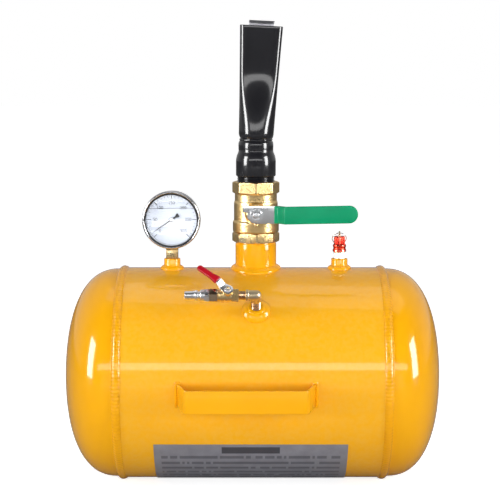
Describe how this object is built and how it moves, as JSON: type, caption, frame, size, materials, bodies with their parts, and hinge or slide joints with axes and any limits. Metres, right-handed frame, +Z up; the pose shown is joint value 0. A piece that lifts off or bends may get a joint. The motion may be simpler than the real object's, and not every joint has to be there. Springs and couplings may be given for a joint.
{
  "type": "bead seater blaster tank",
  "caption": "Horizontal welded air tank with a dial gauge, relief valve, filling line, front handle and a quick-opening ball valve that feeds a flattened nozzle.",
  "frame": {"origin": "on the floor, under the middle of the whole object's box", "axes": "+Z up along the nozzle; X along the tank; -Y towards the handle and the gauge's face"},
  "size_m": [0.4406, 0.2922, 0.5433],
  "materials": {
    "yellow_paint": "gloss",
    "black_paint": "gloss",
    "brass": "satin",
    "dark_brass": "satin",
    "plated_steel": "bright",
    "plated_brass": "bright",
    "stainless": "polished",
    "steel": "dull",
    "green_vinyl": "gloss",
    "red_vinyl": "gloss",
    "red_anodised": "satin",
    "white_polymer": "matte",
    "black_rubber": "matte",
    "clear_glass": "clear",
    "dial_plate": "satin",
    "needle_black": "satin",
    "grey_foil": "satin"
  },
  "bodies": {
    "tank": {"tank_shell": "yellow_paint", "tank_head_right": "yellow_paint", "tank_head_left": "yellow_paint", "weld_band_right": "yellow_paint", "weld_band_left": "yellow_paint", "outlet_neck": "yellow_paint", "neck_weld": "yellow_paint", "gauge_bung": "yellow_paint", "relief_bung": "yellow_paint", "front_handle": "yellow_paint", "tank_label": "grey_foil", "valve_body": "brass", "valve_end_cap": "brass", "valve_seat_upper": "white_polymer", "valve_seat_lower": "white_polymer", "stem_packing": "white_polymer", "packing_nut": "brass", "nozzle_base": "black_paint", "nozzle_barrel": "black_paint", "rim_hook": "steel", "gauge_stem": "brass", "gauge_case": "stainless", "gauge_bezel": "stainless", "gauge_lens": "clear_glass", "gauge_gasket": "black_rubber", "gauge_dial": "dial_plate", "gauge_movement_frame": "brass", "gauge_bourdon_tube": "brass", "gauge_fill_plug": "black_rubber", "relief_body": "brass", "relief_bonnet": "red_anodised", "relief_spring": "steel", "fill_bung": "yellow_paint", "fill_elbow": "brass", "fill_nipple": "dark_brass", "fill_valve_body": "brass", "fill_valve_cap": "dark_brass", "air_plug": "plated_steel", "fill_valve_seat_outer": "white_polymer", "fill_valve_seat_inner": "white_polymer"},
    "main_lever": {"valve_ball": "plated_brass", "valve_stem": "brass", "lever_plate": "plated_steel", "lever_sleeve": "green_vinyl", "lever_nut": "plated_steel"},
    "needle": {"gauge_needle": "needle_black", "gauge_pinion": "brass"},
    "sector": {"gauge_sector": "brass"},
    "relief_stem": {"relief_spindle": "brass", "relief_disc": "black_rubber"},
    "ring": {"pull_ring": "steel"},
    "fill_lever": {"fill_valve_ball": "plated_brass", "fill_valve_stem": "brass", "fill_lever_plate": "plated_steel", "fill_lever_sleeve": "red_vinyl", "fill_lever_nut": "plated_steel"}
  },
  "joints": [
    {"name": "main_lever_turn", "type": "hinge", "parent": "tank", "child": "main_lever", "pos_m": [0.004, -0.0171, 0.3198], "axis": [0, -1, 0], "range_deg": [0, 90]},
    {"name": "fill_lever_turn", "type": "hinge", "parent": "tank", "child": "fill_lever", "pos_m": [-0.0274, -0.0907, 0.2368], "axis": [0, -0.7071, 0.7071], "range_deg": [-50, 40]},
    {"name": "sector_turn", "type": "hinge", "parent": "tank", "child": "sector", "pos_m": [-0.095, 0.0189, 0.2971], "axis": [0, -1, 0], "range_deg": [0, 43.25], "stiffness_Nm_per_rad": 0.0001, "springref_deg": -11.46},
    {"name": "needle_sweep", "type": "hinge", "parent": "tank", "child": "needle", "pos_m": [-0.095, 0.0189, 0.3111], "axis": [0, 1, 0], "range_deg": [0, 259.5]},
    {"name": "relief_lift", "type": "slide", "parent": "tank", "child": "relief_stem", "axis": [0, 0, 1], "range_m": [0, 0.0025], "stiffness_N_per_m": 200, "springref_m": -0.001, "deforming": ["relief_spring"]},
    {"name": "pull_ring_swing", "type": "hinge", "parent": "relief_stem", "child": "ring", "pos_m": [0.103, 0.0189, 0.2941], "axis": [1, 0, 0], "range_deg": [0, 290]}
  ],
  "couplings": [
    {"joint": "needle_sweep", "follows": "sector_turn", "ratio": 6}
  ]
}
